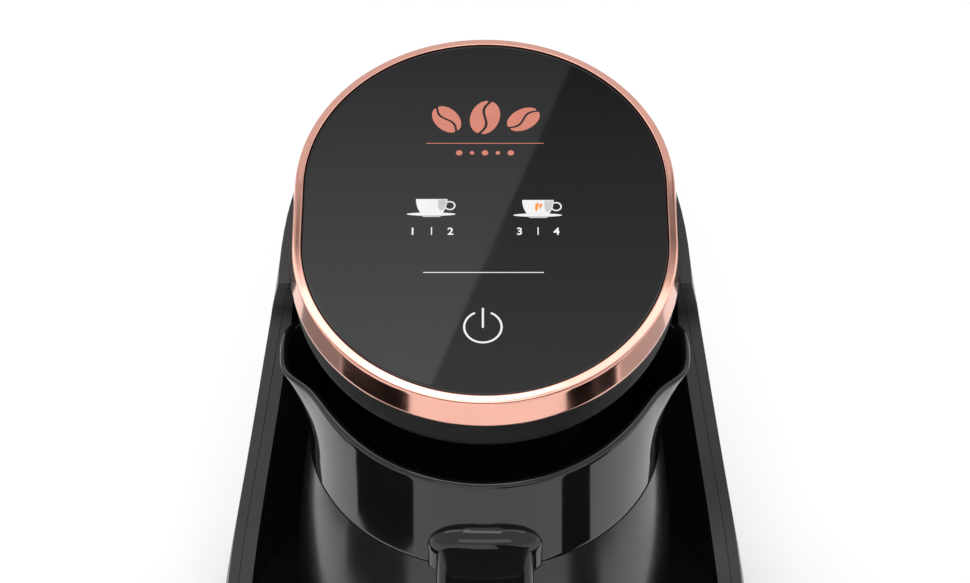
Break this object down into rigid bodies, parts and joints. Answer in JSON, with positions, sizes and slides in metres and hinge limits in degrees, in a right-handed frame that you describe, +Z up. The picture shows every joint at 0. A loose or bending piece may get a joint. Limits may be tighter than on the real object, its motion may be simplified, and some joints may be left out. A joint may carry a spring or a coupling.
{
  "type": "electric turkish coffee maker",
  "caption": "Compact electric coffee maker: tilted touch panel in a rose gold ring over an open alcove, with a two-spouted cordless pot that slides out of its heated stand.",
  "frame": {"origin": "on the table under the middle of the whole object, from the rear wall to the tip of the pot's handle", "axes": "+Z up, front (handle and lower edge of the panel) towards -Y, +X to the viewer's right"},
  "size_m": [0.152, 0.1608, 0.2098],
  "materials": {
    "panel_glass": "gloss black touch glass with white and rose gold marks",
    "rose_gold": "satin rose gold plating",
    "gloss_black": "polished black moulding",
    "satin_black": "fine satin black moulding",
    "inner_black": "plain black moulding",
    "white_plastic": "white light guide plastic",
    "board_green": "circuit board",
    "component": "electronic component cases",
    "lamp": "clear lamp bodies",
    "lens": "smoked sensor lens",
    "steel": "stainless steel",
    "screw_steel": "zinc plated steel",
    "brass": "plated brass contacts",
    "rubber": "black rubber",
    "silicone": "red silicone",
    "lead": "insulated wire"
  },
  "bodies": {
    "machine": {"glass_panel": "panel_glass", "trim_ring": "rose_gold", "panel_carrier": "inner_black", "touch_board": "board_green", "board_screws": "screw_steel", "light_boxes": "white_plastic", "indicator_leds": "lamp", "touch_pads": "rubber", "buzzer": "component", "board_header": "white_plastic", "head_tub": "gloss_black", "tub_screws": "screw_steel", "foam_sensor": "component", "sensor_window": "lens", "outer_shell": "satin_black", "front_liner": "satin_black", "bottom_cover": "inner_black", "rubber_feet": "rubber", "cover_screws": "screw_steel", "shell_screws": "screw_steel", "power_board": "board_green", "power_board_screws": "screw_steel", "power_board_parts": "component", "terminal_block": "white_plastic", "cord_gland": "inner_black", "cord_clamp": "inner_black", "clamp_screws": "screw_steel", "wire_loom": "lead", "contact_socket": "inner_black", "socket_screws": "screw_steel", "contact_spring": "steel"},
    "contact_plunger": {"contact_block": "inner_black", "contact_pins": "brass"},
    "pot": {"pot_body": "gloss_black", "pot_collar": "gloss_black", "pot_handle": "gloss_black", "handle_cover": "gloss_black", "handle_screws": "screw_steel", "pot_seal": "silicone", "heater_plate": "steel", "heating_element": "steel", "temperature_sensor": "steel", "thermal_fuse": "component", "pot_connector": "inner_black", "pot_contact_rings": "brass", "pot_leads": "lead", "pot_base_cover": "inner_black", "pot_base_screws": "screw_steel"}
  },
  "joints": [
    {"name": "pot_slide", "type": "slide", "parent": "machine", "child": "pot", "axis": [0, -1, 0], "range_m": [0, 0.16]},
    {"name": "contact_press", "type": "slide", "parent": "machine", "child": "contact_plunger", "axis": [0, 0, -1], "range_m": [0, 0.0012], "stiffness_N_per_m": 800, "deforming": ["contact_spring"]}
  ]
}
